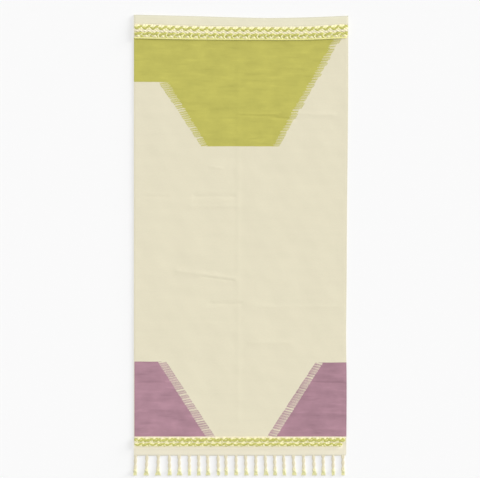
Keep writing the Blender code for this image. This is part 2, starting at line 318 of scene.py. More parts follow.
def clothHeight(x, along, fromSide):
    fromFold = cloth["length"] - along
    t = np.clip((cloth["hemDepth"] + cloth["hemStep"] - fromFold) / cloth["hemStep"], 0, 1)
    hem = t * t * (3 - 2 * t)
    top = cloth["thickness"] + creaseHeight(x, along) + unevenHand(x, along)
    top = top * (1 - hem) + (cloth["hemThickness"] + unevenHand(x, along)) * hem
    ring = cloth["ringHeight"] * (1 - hem) + cloth["hemRingHeight"] * hem
    full = np.minimum(rolled(fromSide, cloth["edgeRoll"]), rolled(along, cloth["edgeRoll"]))
    full = np.minimum(full, rolled(fromFold, cloth["foldRoll"]))
    return ring + (top - ring) * full


def evenly(start, end, step):
    count = max(1, round((end - start) / step))
    return [start + (end - start) * i / count for i in range(count)]


def meshLines():
    # where the mesh's columns and rows lie: fractions across, and metres along
    width = cloth["cornerX"] - cloth["leftEdgeX"]
    nearEdge = [*cloth["nearEdge"], cloth["edgeRoll"]]
    nearFold = [*cloth["nearFold"], cloth["foldRoll"]]
    roll = cloth["edgeRoll"]
    across = nearEdge[:-1] + evenly(roll, width - roll, cloth["column"])
    across += [width - d for d in nearEdge[::-1]]
    hemEdge = cloth["length"] - cloth["hemDepth"]
    hemFoot = hemEdge - cloth["hemStep"]
    along = nearEdge[:-1] + evenly(roll, hemFoot, cloth["row"])
    along += evenly(hemFoot, hemEdge, cloth["hemStep"] / cloth["hemStepRows"])
    along += evenly(hemEdge, cloth["length"] - cloth["foldRoll"], cloth["row"])
    along += [cloth["length"] - d for d in nearFold[::-1]]
    return np.array(across) / width, np.array(along)


def quads(grid):
    return np.stack([grid[:-1, :-1], grid[:-1, 1:], grid[1:, 1:], grid[1:, :-1]], axis=-1).reshape(-1, 4)


def clothFaces(top, under, keep):
    # The upper side, the coarser underside, and the narrow band between them.
    faces = quads(top).tolist() + quads(under)[:, ::-1].tolist()
    for i in range(1, len(under)):  # the sides
        faces.append([top[i, 0], top[i + 1, 0], under[i, 0], under[i - 1, 0]])
        faces.append([top[i, -1], under[i - 1, -1], under[i, -1], top[i + 1, -1]])
    for m in range(len(keep) - 1):  # the ends
        between = slice(keep[m], keep[m + 1] + 1)
        faces.append([under[0, m], under[0, m + 1], *top[0, between][::-1]])
        faces.append([*top[-1, between], under[-1, m + 1], under[-1, m]])
    faces.append([top[0, 0], top[1, 0], under[0, 0], top[0, 1]])
    faces.append([top[0, -1], top[0, -2], under[0, -1], top[1, -1]])
    faces.append([top[-1, 0], top[-1, 1], under[-1, 0], top[-2, 0]])
    faces.append([top[-1, -1], top[-2, -1], under[-1, -1], top[-1, -2]])
    return [[int(corner) for corner in face] for face in faces]


def buildCloth(material):
    across, along = meshLines()
    a, s = np.meshgrid(across, along)
    x, y = clothPoint(a, s)
    clothWidth = rightEdgeX(s) - cloth["leftEdgeX"]
    fromRight, fromFold = (1 - a) * clothWidth, cloth["length"] - s
    z = clothHeight(x, s, np.minimum(a, 1 - a) * clothWidth)
    top = np.arange(x.size).reshape(x.shape)
    last = len(across) - 2
    keep = sorted({*range(1, last, cloth["underEvery"]), last})
    under = x.size + np.arange((len(along) - 2) * len(keep)).reshape(-1, len(keep))

    def both(grid):
        # a value for each point of the upper side, and for those that the underside has too
        return np.concatenate([grid.ravel(), grid[1:-1][:, keep].ravel()])

    heights = np.concatenate([z.ravel(), np.zeros(under.size)])
    points = np.stack([both(x), both(y), heights], axis=1)
    places = {
        "clothMetres": np.stack([both(x), both(s)], axis=1),
        "edgeMetres": np.stack([both(fromRight), both(fromFold)], axis=1),
    }

    mesh = bpy.data.meshes.new("cloth")
    mesh.from_pydata(points.tolist(), [], clothFaces(top, under, keep))
    corners = np.empty(len(mesh.loops), np.int32)
    mesh.loops.foreach_get("vertex_index", corners)
    for layerName, place in places.items():
        layer = mesh.uv_layers.new(name=layerName)
        layer.uv.foreach_set("vector", place[corners].astype(np.float32).ravel())
    mesh.materials.append(material)
    mesh.shade_smooth()
    return addObject("cloth", mesh)


# Materials

def newMaterial(name, roughness, sheen):
    material = bpy.data.materials.new(name)
    material.use_nodes = True
    tree = material.node_tree
    shader = tree.nodes["Principled BSDF"]
    shader.inputs["Roughness"].default_value = roughness
    shader.inputs["Specular IOR Level"].default_value = 0.15
    shader.inputs["Sheen Weight"].default_value = sheen
    shader.inputs["Sheen Roughness"].default_value = 0.6
    return material, tree, shader


def noise(tree, vector, scale, detail=2.0, roughness=0.5):
    # from about -1 to 1, round 0
    value = outputOf(tree, "ShaderNodeTexNoise", {
        "Vector": vector, "Scale": scale, "Detail": detail, "Roughness": roughness})
    return (Wire(tree, value) - 0.5) * 2.0


def dice(tree, number, seed):
    # one random value, 0 to 1, for each whole number
    place = {"Vector": joinXYZ(tree, number, seed, 0.0)}
    return Wire(tree, outputOf(tree, "ShaderNodeTexWhiteNoise", place, noise_dimensions="2D"))


def mixColour(tree, factor, first, second):
    node = addNode(tree, "ShaderNodeMix", data_type="RGBA")
    for index, value in ((0, factor), (6, first), (7, second)):
        feed(tree, node.inputs[index], (*value, 1.0) if isinstance(value, tuple) else value)
    return Wire(tree, node.outputs[2])


def addBump(tree, shader, height, distance, strength):
    normal = outputOf(tree, "ShaderNodeBump", {
        "Height": height, "Distance": distance, "Strength": strength})
    feed(tree, shader.inputs["Normal"], normal)


weave = {
    "rib": 2.9,  # mm from one warp rib to the next
    "weft": 0.95,  # mm from one weft to the next
    "relief": 0.00035,
    "reliefStrength": 0.55,
    "ribShade": 0.09,  # how much paler the top of a rib is than its side
    "cream": (0.768, 0.717, 0.542),
    "chartreuse": (0.520, 0.489, 0.109),
    "mauve": (0.420, 0.238, 0.292),
    "mauveStreaks": 1.7,  # the mauve blocks are so much more streaky than the green one
}

# painted light and shade on the undyed field, each over the last: colour, where it begins and is full
# (mm along), and strength
paintedFieldLight = [
    # painted light: the hem stands raised, and is painted lighter
    ((0.800, 0.760, 0.580), 1196.0, 1216.0, 1.0),  # the hem
    # painted shade: the rolled fold, greyer
    ((0.780, 0.765, 0.590), 1226.0, 1238.0, 0.55),  # its fold
    # painted light: the strip beside the fringe, lightened against the plaits' shadow
    ((0.828, 0.774, 0.612), 34.0, 24.0, 1.0),  # the strip beside the fringe
    # painted shade: the fringed edge, darker where it rolls over
    ((0.765, 0.735, 0.590), 8.0, 0.0, 0.6),  # the fringed edge
]
# painted light: the cloth beside the lowest plait, lightened against the plait's shadow
paintedLightBesidePlait = (0.950, 0.890, 0.700)  # beside the lowest plait

# unevenness of yarn and dye: changes a mm across and along, seed, strength. The last two are in the dyed
# blocks alone.
unevenness = {
    "thread": (0.006, 0.62, 0.0, 0.035),
    "band": (0.004, 0.055, 3.0, 0.020),
    "broad": (0.007, 0.007, 9.0, 0.018),
    "streak": (0.013, 0.085, 17.0, 0.38),
    "patch": (0.022, 0.030, 23.0, 0.13),
}

# Each slanting join: its outer and inner line, as (x, along) at the upper and the lower end, in mm. In
# its strip the two colours take turns, in groups so many mm high: share is the block's colour near the
# outer and the inner line, and swing how far it goes above and below that within a group. Ragged and
# soft are how uneven the outer and the inner line are.
greenLeftJoin = {
    "outer": (-226.3, 1043.1, -110.1, 867.2),
    "inner": (-201.8, 1047.3, -91.3, 869.5),
    "group": 6.4, "share": (0.55, 0.77), "swing": 0.24, "slope": -0.16,
    "ragged": 0.12, "soft": 0.24, "seed": 11.5,
}
greenRightJoin = {
    "outer": (281.5, 1166.8, 111.0, 871.7),
    "inner": (252.5, 1154.7, 92.1, 872.9),
    "group": 7.4, "share": (0.54, 0.76), "swing": 0.22, "slope": -0.04,
    "ragged": 0.30, "soft": 0.30, "seed": 27.5,
}
mauveLeftJoin = {
    "outer": (-73.0, 55.7, -209.4, 264.7),
    "inner": (-100.3, 55.7, -230.3, 259.1),
    "group": 6.8, "share": (0.50, 0.60), "swing": 0.25, "slope": -0.18,
    "ragged": 0.05, "soft": 0.07, "seed": 43.5,
}
mauveRightJoin = {
    "outer": (75.2, 55.7, 210.0, 261.9),
    "inner": (102.5, 55.7, 231.7, 261.0),
    "group": 7.6, "share": (0.73, 0.46), "swing": 0.23, "slope": 0.22,
    "ragged": 0.05, "soft": 0.07, "seed": 61.5,
}

blocks = {
    "greenTop": 1175.4,
    "greenStep": 1050.7,  # the block reaches the left edge down to here
    "greenFoot": 869.4,
    "mauveTop": 264.4,
    "mauveTopRight": 261.9,
    "mauveFoot": 53.8,
    "greenEdge": -300.5,
    "mauveEdge": -298.8,  # the mauve block leaves a narrow cream edge on the left
}

hatching = {
    "pick": 1.9,  # mm from one pick to the next
    "leastSwing": 0.3,  # of the join's own swing
    "swingSpread": 1.3,
    "thinGroups": 0.84,  # groups that draw more than this have less of the block's colour
    "thinBy": 0.8,
    "outerPart": 0.10,  # close to its outer line a join has more of it
    "outerMore": 0.12,
    "raggedFrom": 0.02,
    "softFrom": 0.35,
}


def joinMask(tree, x, along, join):
    # 1 on the coloured side of a slanting join. In its strip, picks of the two colours take turns.
    lean = along + x * join["slope"]
    pick = lean / hatching["pick"]
    number = pick.floor()
    stepped = (number + 0.5) * hatching["pick"] - x * join["slope"]
    edges = []
    for x0, along0, x1, along1 in (join["outer"], join["inner"]):
        run = (x1 - x0) / (along1 - along0)
        edges.append((stepped - along0) * run + x0)
    t = (x - edges[0]) / (edges[1] - edges[0])
    chance = dice(tree, number, join["seed"])
    group = lean / join["group"]
    groupChance = dice(tree, group.floor(), join["seed"] + 3.0)
    outerShare, innerShare = join["share"]
    swing = (groupChance * hatching["swingSpread"] + hatching["leastSwing"]) * join["swing"]
    share = t * (innerShare - outerShare) + outerShare + group.turns() * swing
    share = share - groupChance.above(hatching["thinGroups"]) * join["swing"] * hatching["thinBy"]
    share = share + t.below(hatching["outerPart"]) * hatching["outerMore"]
    begun = t.above(groupChance * join["ragged"] - hatching["raggedFrom"])
    stroke = (pick - number).below(share) * begun
    return stroke.most(t.above(1.0 - (chance - hatching["softFrom"]) * join["soft"]))


def wovenCotton():
    material, tree, shader = newMaterial("wovenCotton", 0.92, 0.12)
    place = outputOf(tree, "ShaderNodeUVMap", uv_map="clothMetres")
    x, along, _ = [part * 1000.0 for part in splitXYZ(tree, place)]
    edgePlace = outputOf(tree, "ShaderNodeUVMap", uv_map="edgeMetres")
    fromRight, fromFold, _ = [part * 1000.0 for part in splitXYZ(tree, edgePlace)]
    along = along + noise(tree, place, 22.0) * 0.7  # wefts wander a little

    green = along.below(blocks["greenTop"]) * along.above(blocks["greenFoot"])
    left = joinMask(tree, x, along, greenLeftJoin).most(along.above(blocks["greenStep"]))
    green = green * left * joinMask(tree, x, along, greenRightJoin) * x.above(blocks["greenEdge"])
    mauveLeft = along.below(blocks["mauveTop"]) * joinMask(tree, x, along, mauveLeftJoin)
    mauveRight = along.below(blocks["mauveTopRight"]) * joinMask(tree, x, along, mauveRightJoin)
    mauve = mauveLeft.most(mauveRight) * along.above(blocks["mauveFoot"]) * x.above(blocks["mauveEdge"])

    # each rib shows every second weft, and its neighbour the others
    ribAt = (x + noise(tree, place, 30.0) * 0.5) / weave["rib"]
    rib = ribAt.turns() * 0.5 + 0.5
    odd = (ribAt + 0.5).floor() * 0.5
    weftAt = (along + noise(tree, place, 120.0) * 0.15) / (2 * weave["weft"]) + odd
    weft = weftAt.turns() * 0.5 + 0.5
    relief = rib * (0.55 + 0.45 * weft)

    def uneven(kind, shift=0.0, detail=2.0):
        acrossRate, alongRate, seed, strength = unevenness[kind]
        at = joinXYZ(tree, x * acrossRate, along * alongRate, shift + seed)
        return noise(tree, at, 1.0, detail), strength

    thread, threadTone = uneven("thread", odd, 3.0)
    band, bandTone = uneven("band")
    broad, broadTone = uneven("broad")
    fibre = noise(tree, place, 2600.0)
    tone = 1.0 + thread * threadTone + band * bandTone + broad * broadTone + fibre * 0.03
    streak, streakTone = uneven("streak")
    patch, patchTone = uneven("patch")
    streaks = streak * streak.calc("ABSOLUTE") * streakTone + patch * patchTone
    tone = tone + streaks * (green + mauve * weave["mauveStreaks"])
    # the right mauve block is darker, and so are both along their tops
    tone = tone - mauve * (x.ramp(60.0, 200.0) * 0.05 + along.above(261.2) * 0.07)
    tone = tone - green * along.above(1169.8) * 0.24  # painted shade: a dark row along its top, under the twined row
    # painted light along the left edge, which faces away from the low light, and painted shade along the
    # right edge and the fold, which face it
    for distance, begins, full, change in (
        (x, -296.5, -299.5, 0.22),
        (fromRight, 5.0, 0.5, -0.17),
        (fromRight, 1.6, 0.0, -0.15),
        (fromFold, 4.5, 0.5, -0.26),
    ):
        tone = tone + distance.ramp(begins, full) * change
    tone = tone * (1.0 + weave["ribShade"] * (relief - 0.5))

    field = weave["cream"]
    for paintedTone, begins, full, strength in paintedFieldLight:
        field = mixColour(tree, along.ramp(begins, full) * strength, field, paintedTone)
    # painted light beside the lowest plait, against its shadow
    pale = along.ramp(17.0, 24.0) * along.ramp(34.0, 26.0) * x.ramp(289.0, 285.0)
    field = mixColour(tree, pale, field, paintedLightBesidePlait)
    colour = mixColour(tree, green, field, weave["chartreuse"])
    colour = mixColour(tree, mauve, colour, weave["mauve"])
    feed(tree, shader.inputs["Base Color"], scaled(tree, colour, tone))
    feed(tree, shader.inputs["Roughness"], 0.90 + fibre * 0.06)
    height = relief + thread * 0.25 + fibre * 0.10
    addBump(tree, shader, height, weave["relief"], weave["reliefStrength"])
    return material


# each yarn's colour and the one it turns to, the share of that, fibres wound round it, and relief. The
# fringe turns towards its tips, and has its own patches and fibres.
yarnKinds = {
    "chartreuseYarn": ((0.530, 0.515, 0.110), (0.670, 0.660, 0.220), 0.36, 3.0, 0.00012),
    "creamYarn": ((0.985, 0.930, 0.630), (0.985, 0.950, 0.450), 0.30, 3.0, 0.00012),
    "paleYarn": ((0.985, 0.905, 0.700), (0.980, 0.915, 0.600), 0.30, 3.0, 0.00012),
    "limeYarn": ((0.960, 0.920, 0.430), (0.960, 0.930, 0.330), 0.30, 3.0, 0.00012),
    "hemThread": ((0.800, 0.760, 0.600), (0.760, 0.720, 0.560), 0.30, 2.0, 0.00005),
    "fringeYarn": ((0.765, 0.705, 0.520), (0.915, 0.895, 0.500), "tips", 3.0, 0.00012, 60.0, 0.04, 0.06),
}
tipsBegin = -0.620
tipsEnd = -0.643


def yarnMaterial(name, colour, other, share, threads, relief, patchScale=90.0, patchTone=0.05,
                 fibreTone=0.07):
    # Spun yarn: fibres wind round it, and its dye is uneven along its length.
    material, tree, shader = newMaterial(name, 0.88, 0.2)
    place = outputOf(tree, "ShaderNodeUVMap", uv_map="yarnPlace")
    around, length, _ = splitXYZ(tree, place)
    objectPlace = addNode(tree, "ShaderNodeTexCoord").outputs["Object"]
    wind = (around * threads + length * 420.0).turns() * 0.5 + 0.5
    patch = noise(tree, objectPlace, patchScale)
    fibre = noise(tree, objectPlace, 1500.0, 3.0, 0.6)
    # painted shade: the winding is darker in its grooves, following the bump
    tone = (0.955 + 0.075 * wind) * (1.0 + patch * patchTone + fibre * fibreTone)
    if share == "tips":
        _, y, _ = splitXYZ(tree, objectPlace)
        turned = (y + patch * 0.004).ramp(tipsBegin, tipsEnd)
    else:
        turned = (patch * 0.5).calc("ADD", share, clamp=True)
    mixed = mixColour(tree, turned, colour, other)
    feed(tree, shader.inputs["Base Color"], scaled(tree, mixed, tone))
    feed(tree, shader.inputs["Roughness"], 0.86 + fibre * 0.08)
    addBump(tree, shader, wind + fibre * 0.5, relief, 0.6)
    return material


# Yarn, laid and swept by Geometry Nodes

def newTree(name, values):
    # A Geometry Nodes tree with one named input for each value, and a dictionary of what they carry.
    tree = bpy.data.node_groups.new(name, "GeometryNodeTree")
    tree.interface.new_socket(name="Geometry", in_out="INPUT", socket_type="NodeSocketGeometry")
    kinds = {float: "Float", int: "Int", bpy.types.Material: "Material"}
    for inputName, value in values.items():
        kind = "NodeSocket" + kinds[type(value)]
        tree.interface.new_socket(name=inputName, in_out="INPUT", socket_type=kind)
    tree.interface.new_socket(name="Geometry", in_out="OUTPUT", socket_type="NodeSocketGeometry")
    inlet = tree.nodes.new("NodeGroupInput")
    given = {output.name: Wire(tree, output) for output in inlet.outputs if output.name}
    return tree, given


def guideCurve(tree, given):
    return outputOf(tree, "GeometryNodeMeshToCurve", {"Mesh": given["Geometry"]})


def pressed(tree, geometry, middle, share):
    # flattened towards a level plane
    _, _, z = splitXYZ(tree, outputOf(tree, "GeometryNodeInputPosition"))
    return moved(tree, geometry, joinXYZ(tree, 0.0, 0.0, (z - middle) * (share - 1.0)))


def closeTree(tree, geometry, material, others=None, otherMaterial=None):
    # ends the tree with its material, and another one on some of its faces
    made = outputOf(tree, "GeometryNodeRealizeInstances", {"Geometry": geometry})
    made = outputOf(tree, "GeometryNodeSetMaterial", {"Geometry": made, "Material": material})
    if others is not None:
        made = outputOf(tree, "GeometryNodeSetMaterial", {
            "Geometry": made, "Selection": others, "Material": otherMaterial})
    tree.links.new(made, tree.nodes.new("NodeGroupOutput").inputs[0])


trees = {}


def grow(name, makeTree, values, mesh=None):
    # Runs a tree, made once, on a guide, and keeps what it makes as a plain mesh.
    if makeTree not in trees:
        trees[makeTree] = makeTree(values)
    tree = trees[makeTree]
    guide = addObject(name + "Guide", mesh or bpy.data.meshes.new(name + "Guide"))
    modifier = guide.modifiers.new(name, "NODES")
    modifier.node_group = tree
    for item in tree.interface.items_tree:
        if item.in_out == "INPUT" and item.name in values:
            modifier[item.identifier] = values[item.name]
    guide.update_tag()
    bpy.context.view_layer.update()
    evaluated = guide.evaluated_get(bpy.context.evaluated_depsgraph_get())
    made = bpy.data.meshes.new_from_object(evaluated)
    guide.modifiers.clear()
    bpy.data.objects.remove(guide, do_unlink=True)
    made.name = name
    made.shade_smooth()
    return addObject(name, made)


def splineLength(tree):
    # distance along the spline, and distance to its nearer end
    here = Wire(tree, tree.nodes.new("GeometryNodeSplineParameter").outputs["Length"])
    whole = Wire(tree, tree.nodes.new("GeometryNodeSplineLength").outputs["Length"])
    return here, here.least(whole - here)


def evenSteps(tree, curve, step):
    return outputOf(tree, "GeometryNodeResampleCurve", {"Curve": curve, "Length": step}, mode="LENGTH")


def straight(tree, start, end, count):
    line = outputOf(tree, "GeometryNodeCurvePrimitiveLine", {"Start": start, "End": end})
    return outputOf(tree, "GeometryNodeResampleCurve", {"Curve": line, "Count": count})


def copies(tree, curve, count):
    node = addNode(tree, "GeometryNodeDuplicateElements", {"Geometry": curve, "Amount": count},
                   domain="SPLINE")
    return node.outputs["Geometry"], Wire(tree, node.outputs["Duplicate Index"])


def moved(tree, curve, offset):
    return outputOf(tree, "GeometryNodeSetPosition", {"Geometry": curve, "Offset": offset})


def chanceFor(tree, low, high, seed, number=None):
    # a random value between low and high for each number, or else for each point
    node = addNode(tree, "FunctionNodeRandomValue", {"Seed": seed}, data_type="FLOAT")
    limits = {"Min": low, "Max": high}
    for socket in node.inputs:
        if socket.enabled and socket.name in limits:
            socket.default_value = limits[socket.name]
    if number is not None:
        feed(tree, node.inputs["ID"], number)
    return Wire(tree, next(output for output in node.outputs if output.enabled))


def lay(tree, curve, count, reach, rise, turn, phase, step):
    # Copies each spline and winds the copies round it: reach sideways, rise up and down, one turn
    # in so long.
    curve = evenSteps(tree, curve, step)
    curve = outputOf(tree, "GeometryNodeSetCurveNormal", {"Curve": curve}, mode="Z_UP")
    curve, number = copies(tree, curve, count)
    here, _ = splineLength(tree)
    angle = (here / turn + number / count + phase) * (2 * math.pi)
    side = outputOf(tree, "GeometryNodeInputNormal")
    forward = outputOf(tree, "GeometryNodeInputTangent")
    up = vectorCalc(tree, "CROSS_PRODUCT", forward, side)
    out = scaled(tree, side, angle.calc("COSINE") * reach)
    lift = scaled(tree, up, angle.calc("SINE") * rise)
    return moved(tree, curve, vectorCalc(tree, "ADD", out, lift)), number


def sweep(tree, curve, radius, sides, roundEnd):
    # A closed tube along each spline, with its place round and along the yarn kept for the material.
    here, fromEnd = splineLength(tree)
    part = (fromEnd / roundEnd).least(1.0)
    size = (1.0 - (1.0 - part) * (1.0 - part)).calc("SQRT") * radius
    keep = addNode(tree, "GeometryNodeCaptureAttribute")
    keep.capture_items.new("FLOAT", "along")
    feed(tree, keep.inputs[0], curve)
    feed(tree, keep.inputs[1], here)
    ring = outputOf(tree, "GeometryNodeCurveArc", {
        "Resolution": sides + 1, "Radius": 1.0, "Start Angle": 0.0, "Sweep Angle": 2 * math.pi})
    keepRing = addNode(tree, "GeometryNodeCaptureAttribute")
    keepRing.capture_items.new("FLOAT", "around")
    feed(tree, keepRing.inputs[0], ring)
    feed(tree, keepRing.inputs[1], tree.nodes.new("GeometryNodeSplineParameter").outputs["Factor"])
    tube = outputOf(tree, "GeometryNodeCurveToMesh", {
        "Curve": keep.outputs[0], "Profile Curve": keepRing.outputs[0], "Scale": size})
    place = joinXYZ(tree, keepRing.outputs[1], keep.outputs[1], 0.0)
    tube = outputOf(tree, "GeometryNodeStoreNamedAttribute", {
        "Geometry": tube, "Name": "yarnPlace", "Value": place}, data_type="FLOAT2", domain="CORNER")
    return outputOf(tree, "GeometryNodeMergeByDistance", {"Geometry": tube, "Distance": 0.000002})


# The four plaits

plait = {
    "fullWidth": 0.0140,  # the width to which these sizes belong
    "strandReach": 0.0048,  # how far a strand swings to each side
    "strandRise": 0.00170,
    "centreHeight": 0.0057,
    "firstRise": 0.30,  # the chartreuse strand dips less than the others
    "firstLift": 0.0021,  # and lies proud of them
    "firstThickness": 1.10,
    "plyReach": 0.00150,
    "plyRise": 0.00085,
    "plyRadius": 0.00145,
    "pressed": 0.62,  # yarn packed flat by the sewing
    "plyTurn": 0.0125,
    "plyPhase": 0.21,  # of a turn, from one strand to the next
    "unevenPhase": 0.16,  # of a wave, because no hand plaits quite evenly
    "unevenScale": 26.0,
    "tightScale": 40.0,
    "tightReach": 0.22,  # how much tighter or looser places change the swing
    "tightThickness": 0.25,
    "biasLift": 0.0006,
    "biasThickness": 0.20,
    "sewnLength": 0.007,  # at its ends the strands are sewn down, closer together
    "sewnReach": 0.62,
    "sewnRise": 0.5,
    "sewnDrop": 0.0012,
    "roundEnd": 0.0016,
    "endGap": 0.0012,
    "sides": 6,
    "step": 0.0012,
}

# name, CAD node, width, one strand's whole wave, line, bow, left gap, right gap, phase, seed, how many
# plies of the second strand are chartreuse like the first, and for the first strand how much of the
# others' swing it has, how far it lies towards the hem, and how much its rising stretches are thicker
plaitRows = [
    ("plaitTopUpper", "plait_top_upper", 0.0140, 0.0231, upperPlaitLine, upperBow, -0.0004, -0.0002,
     0.41, 4.0, 0, 0.64, -0.0001, 1.2),
    ("plaitTopLower", "plait_top_lower", 0.0140, 0.0232, lowerPlaitLine, lowerBow, -0.0004, 0.0002,
     0.44, 6.0, 2, 0.38, 0.0034, 1.2),
    ("plaitBottomUpper", "plait_bottom_upper", 0.0124, 0.0218, 0.0446, noBow, 0.0000, 0.0025,
     0.94, 12.0, 2, 0.60, -0.0006, 1.0),
    ("plaitBottomLower", "plait_bottom_lower", 0.0117, 0.0214, 0.0316, noBow, 0.0002, 0.0105,
     0.33, 32.0, 1, 0.60, 0.0006, 0.8),
]


def plaitTree(values):
    tree, given = newTree("plaitStrands", values)
    p = plait
    line, strand = copies(tree, evenSteps(tree, guideCurve(tree, given), p["step"]), 3)
    first = strand.below(0.5)
    second = strand.above(0.5) * strand.below(1.5)
    here, fromEnd = splineLength(tree)
    sewn = fromEnd.ramp(0.0, p["sewnLength"])

    # the strands swing to and fro, and rise and dip twice as often
    uneven = noise(tree, joinXYZ(tree, here * p["unevenScale"], given["Seed"], 0.0), 1.0)
    tight = noise(tree, joinXYZ(tree, here * p["tightScale"], given["Seed"], strand * 4.0), 1.0)
    turn = here / given["Wave"] + strand / 3.0 + given["Phase"] + uneven * p["unevenPhase"]
    angle = turn * (2 * math.pi)
    rising = angle.calc("COSINE") * given["Bias"]
    reach = given["Reach"] * (1.0 - first * (1.0 - given["First Reach"]))
    reach = reach * (1.0 + tight * p["tightReach"]) * (p["sewnReach"] + (1 - p["sewnReach"]) * sewn)
    swing = angle.calc("SINE") * reach + first * given["First Shift"]
    rise = p["strandRise"] * (1.0 - first * (1.0 - p["firstRise"]))
    rise = rise * (p["sewnRise"] + (1 - p["sewnRise"]) * sewn)
    lift = (angle * 2.0).calc("SINE") * rise - p["sewnDrop"] * (1.0 - sewn)
    lift = lift + first * (p["firstLift"] + rising * p["biasLift"])
    forward = outputOf(tree, "GeometryNodeInputTangent")
    out = scaled(tree, vectorCalc(tree, "CROSS_PRODUCT", (0.0, 0.0, 1.0), forward), swing)
    strands = moved(tree, line, vectorCalc(tree, "ADD", out, joinXYZ(tree, 0.0, 0.0, lift)))

    # each is three plies, dyed whole in the first strand and in part in the second
    uneven = rising * p["biasThickness"] + tight * p["tightThickness"]
    thickness = 1.0 + first * (uneven + (p["firstThickness"] - 1.0))
    plies, ply = lay(tree, strands, 3, given["Ply Reach"] * thickness, p["plyRise"], p["plyTurn"],
                     strand * p["plyPhase"], p["step"])
    tubes = sweep(tree, plies, given["Ply Radius"] * thickness, p["sides"], p["roundEnd"])
    dyed = ply.below(first * 3.0 + second * given["Second Strand"] - 0.5)
    closeTree(tree, pressed(tree, tubes, p["centreHeight"], p["pressed"]), given["Cream"], dyed,
              given["Chartreuse"])
    return tree


def guideLine(name, line, bows, leftGap, rightGap, height):
    # edges along a line of the cloth, for a tree to follow
    rightX = float(rightEdgeX(np.array(line)))
    x = np.linspace(cloth["leftEdgeX"] + leftGap, rightX - rightGap, 121)
    across = (x - cloth["leftEdgeX"]) / (rightX - cloth["leftEdgeX"])
    y = np.full_like(x, cloth["fringedEdgeY"] + line)
    for bowColumn in bows:
        if bowColumn != noBow:
            y = y - readSmoothly(bow, across, bowColumn) / len(bows)
    points = [(float(a), float(b), height) for a, b in zip(x, y)]
    mesh = bpy.data.meshes.new(name)
    mesh.from_pydata(points, [(i, i + 1) for i in range(len(points) - 1)], [])
    return mesh


def buildPlaits():
    made = []
    for name, node, width, wave, line, bowColumn, leftGap, rightGap, *ways in plaitRows:
        phase, seed, secondPlies, swing, shift, bias = ways
        scale = width / plait["fullWidth"]
        guide = guideLine(name, line, [bowColumn], leftGap + plait["endGap"], rightGap + plait["endGap"],
                          plait["centreHeight"])
        piece = grow(name, plaitTree, {
            "Reach": plait["strandReach"] * scale, "Wave": wave, "Phase": phase, "Seed": seed,
            "First Reach": swing, "First Shift": shift, "Second Strand": secondPlies, "Bias": bias,
            "Ply Reach": plait["plyReach"] * scale, "Ply Radius": plait["plyRadius"] * scale,
            "Chartreuse": yarns["chartreuseYarn"], "Cream": yarns["creamYarn"]}, guide)
        made.append((piece, node))
    return made


# The twined rows beside the plaits, and the hem's stitches

twine = {
    "reach": 0.00105,
    "rise": 0.00060,
    "radius": 0.00105,
    "pressed": 0.7,
    "leftGap": 0.0010,
    "roundEnd": 0.0009,
    "sides": 6,
    "step": 0.0007,
}

# name, line, bows it lies between, width as a share of the full one, height of its middle, one turn,
# right gap and yarn
twineRows = [
    ("twineHem", 1.2125, (upperBow, upperBow), 0.76, 0.0050, 0.0075, 0.0030, "paleYarn"),
    ("twineBetween", 1.1953, (upperBow, lowerBow), 2.10, 0.0050, 0.0231, 0.0030, "paleYarn"),
    ("twineTop", 1.1748, (lowerBow, blockBow), 1.32, 0.0050, 0.0082, 0.0040, "limeYarn"),
    ("twineUnder", 1.1801, (lowerBow, lowerBow), 1.20, 0.0041, 0.0082, 0.0040, "paleYarn"),
    ("twineMiddle", 0.0379, (noBow, noBow), 1.50, 0.0050, 0.0215, 0.0125, "paleYarn"),
    ("twineBottom", 0.0516, (noBow, noBow), 1.00, 0.0049, 0.0075, 0.0020, "paleYarn"),
]


def twineTree(values):
    tree, given = newTree("twinedRow", values)
    plies, _ = lay(tree, guideCurve(tree, given), 2, given["Reach"], given["Rise"], given["Turn"], 0.0,
                   twine["step"])
    tubes = sweep(tree, plies, given["Radius"], twine["sides"], twine["roundEnd"])
    closeTree(tree, pressed(tree, tubes, given["Middle"], twine["pressed"]), given["Material"])
    return tree


def buildTwines():
    made = []
    for name, line, bows, size, height, turn, rightGap, yarn in twineRows:
        guide = guideLine(name, line, bows, twine["leftGap"], rightGap, height)
        made.append(grow(name, twineTree, {
            "Reach": twine["reach"] * size, "Rise": twine["rise"] * size,
            "Radius": twine["radius"] * size, "Turn": turn, "Middle": height,
            "Material": yarns[yarn]}, guide))
    return made


stitch = {
    "line": 1.2172,
    "endGap": 0.0060,
    "above": 0.0002,  # its middle lies so far above the hem
    "pitch": 0.0062,
    "length": 0.0042,
    "shortest": 0.85,
    "longest": 1.1,
    "radius": 0.00032,
    "dip": 0.0005,  # its ends sink into the cloth
    "roundEnd": 0.0004,
    "sides": 5,
    "seed": 4,
}


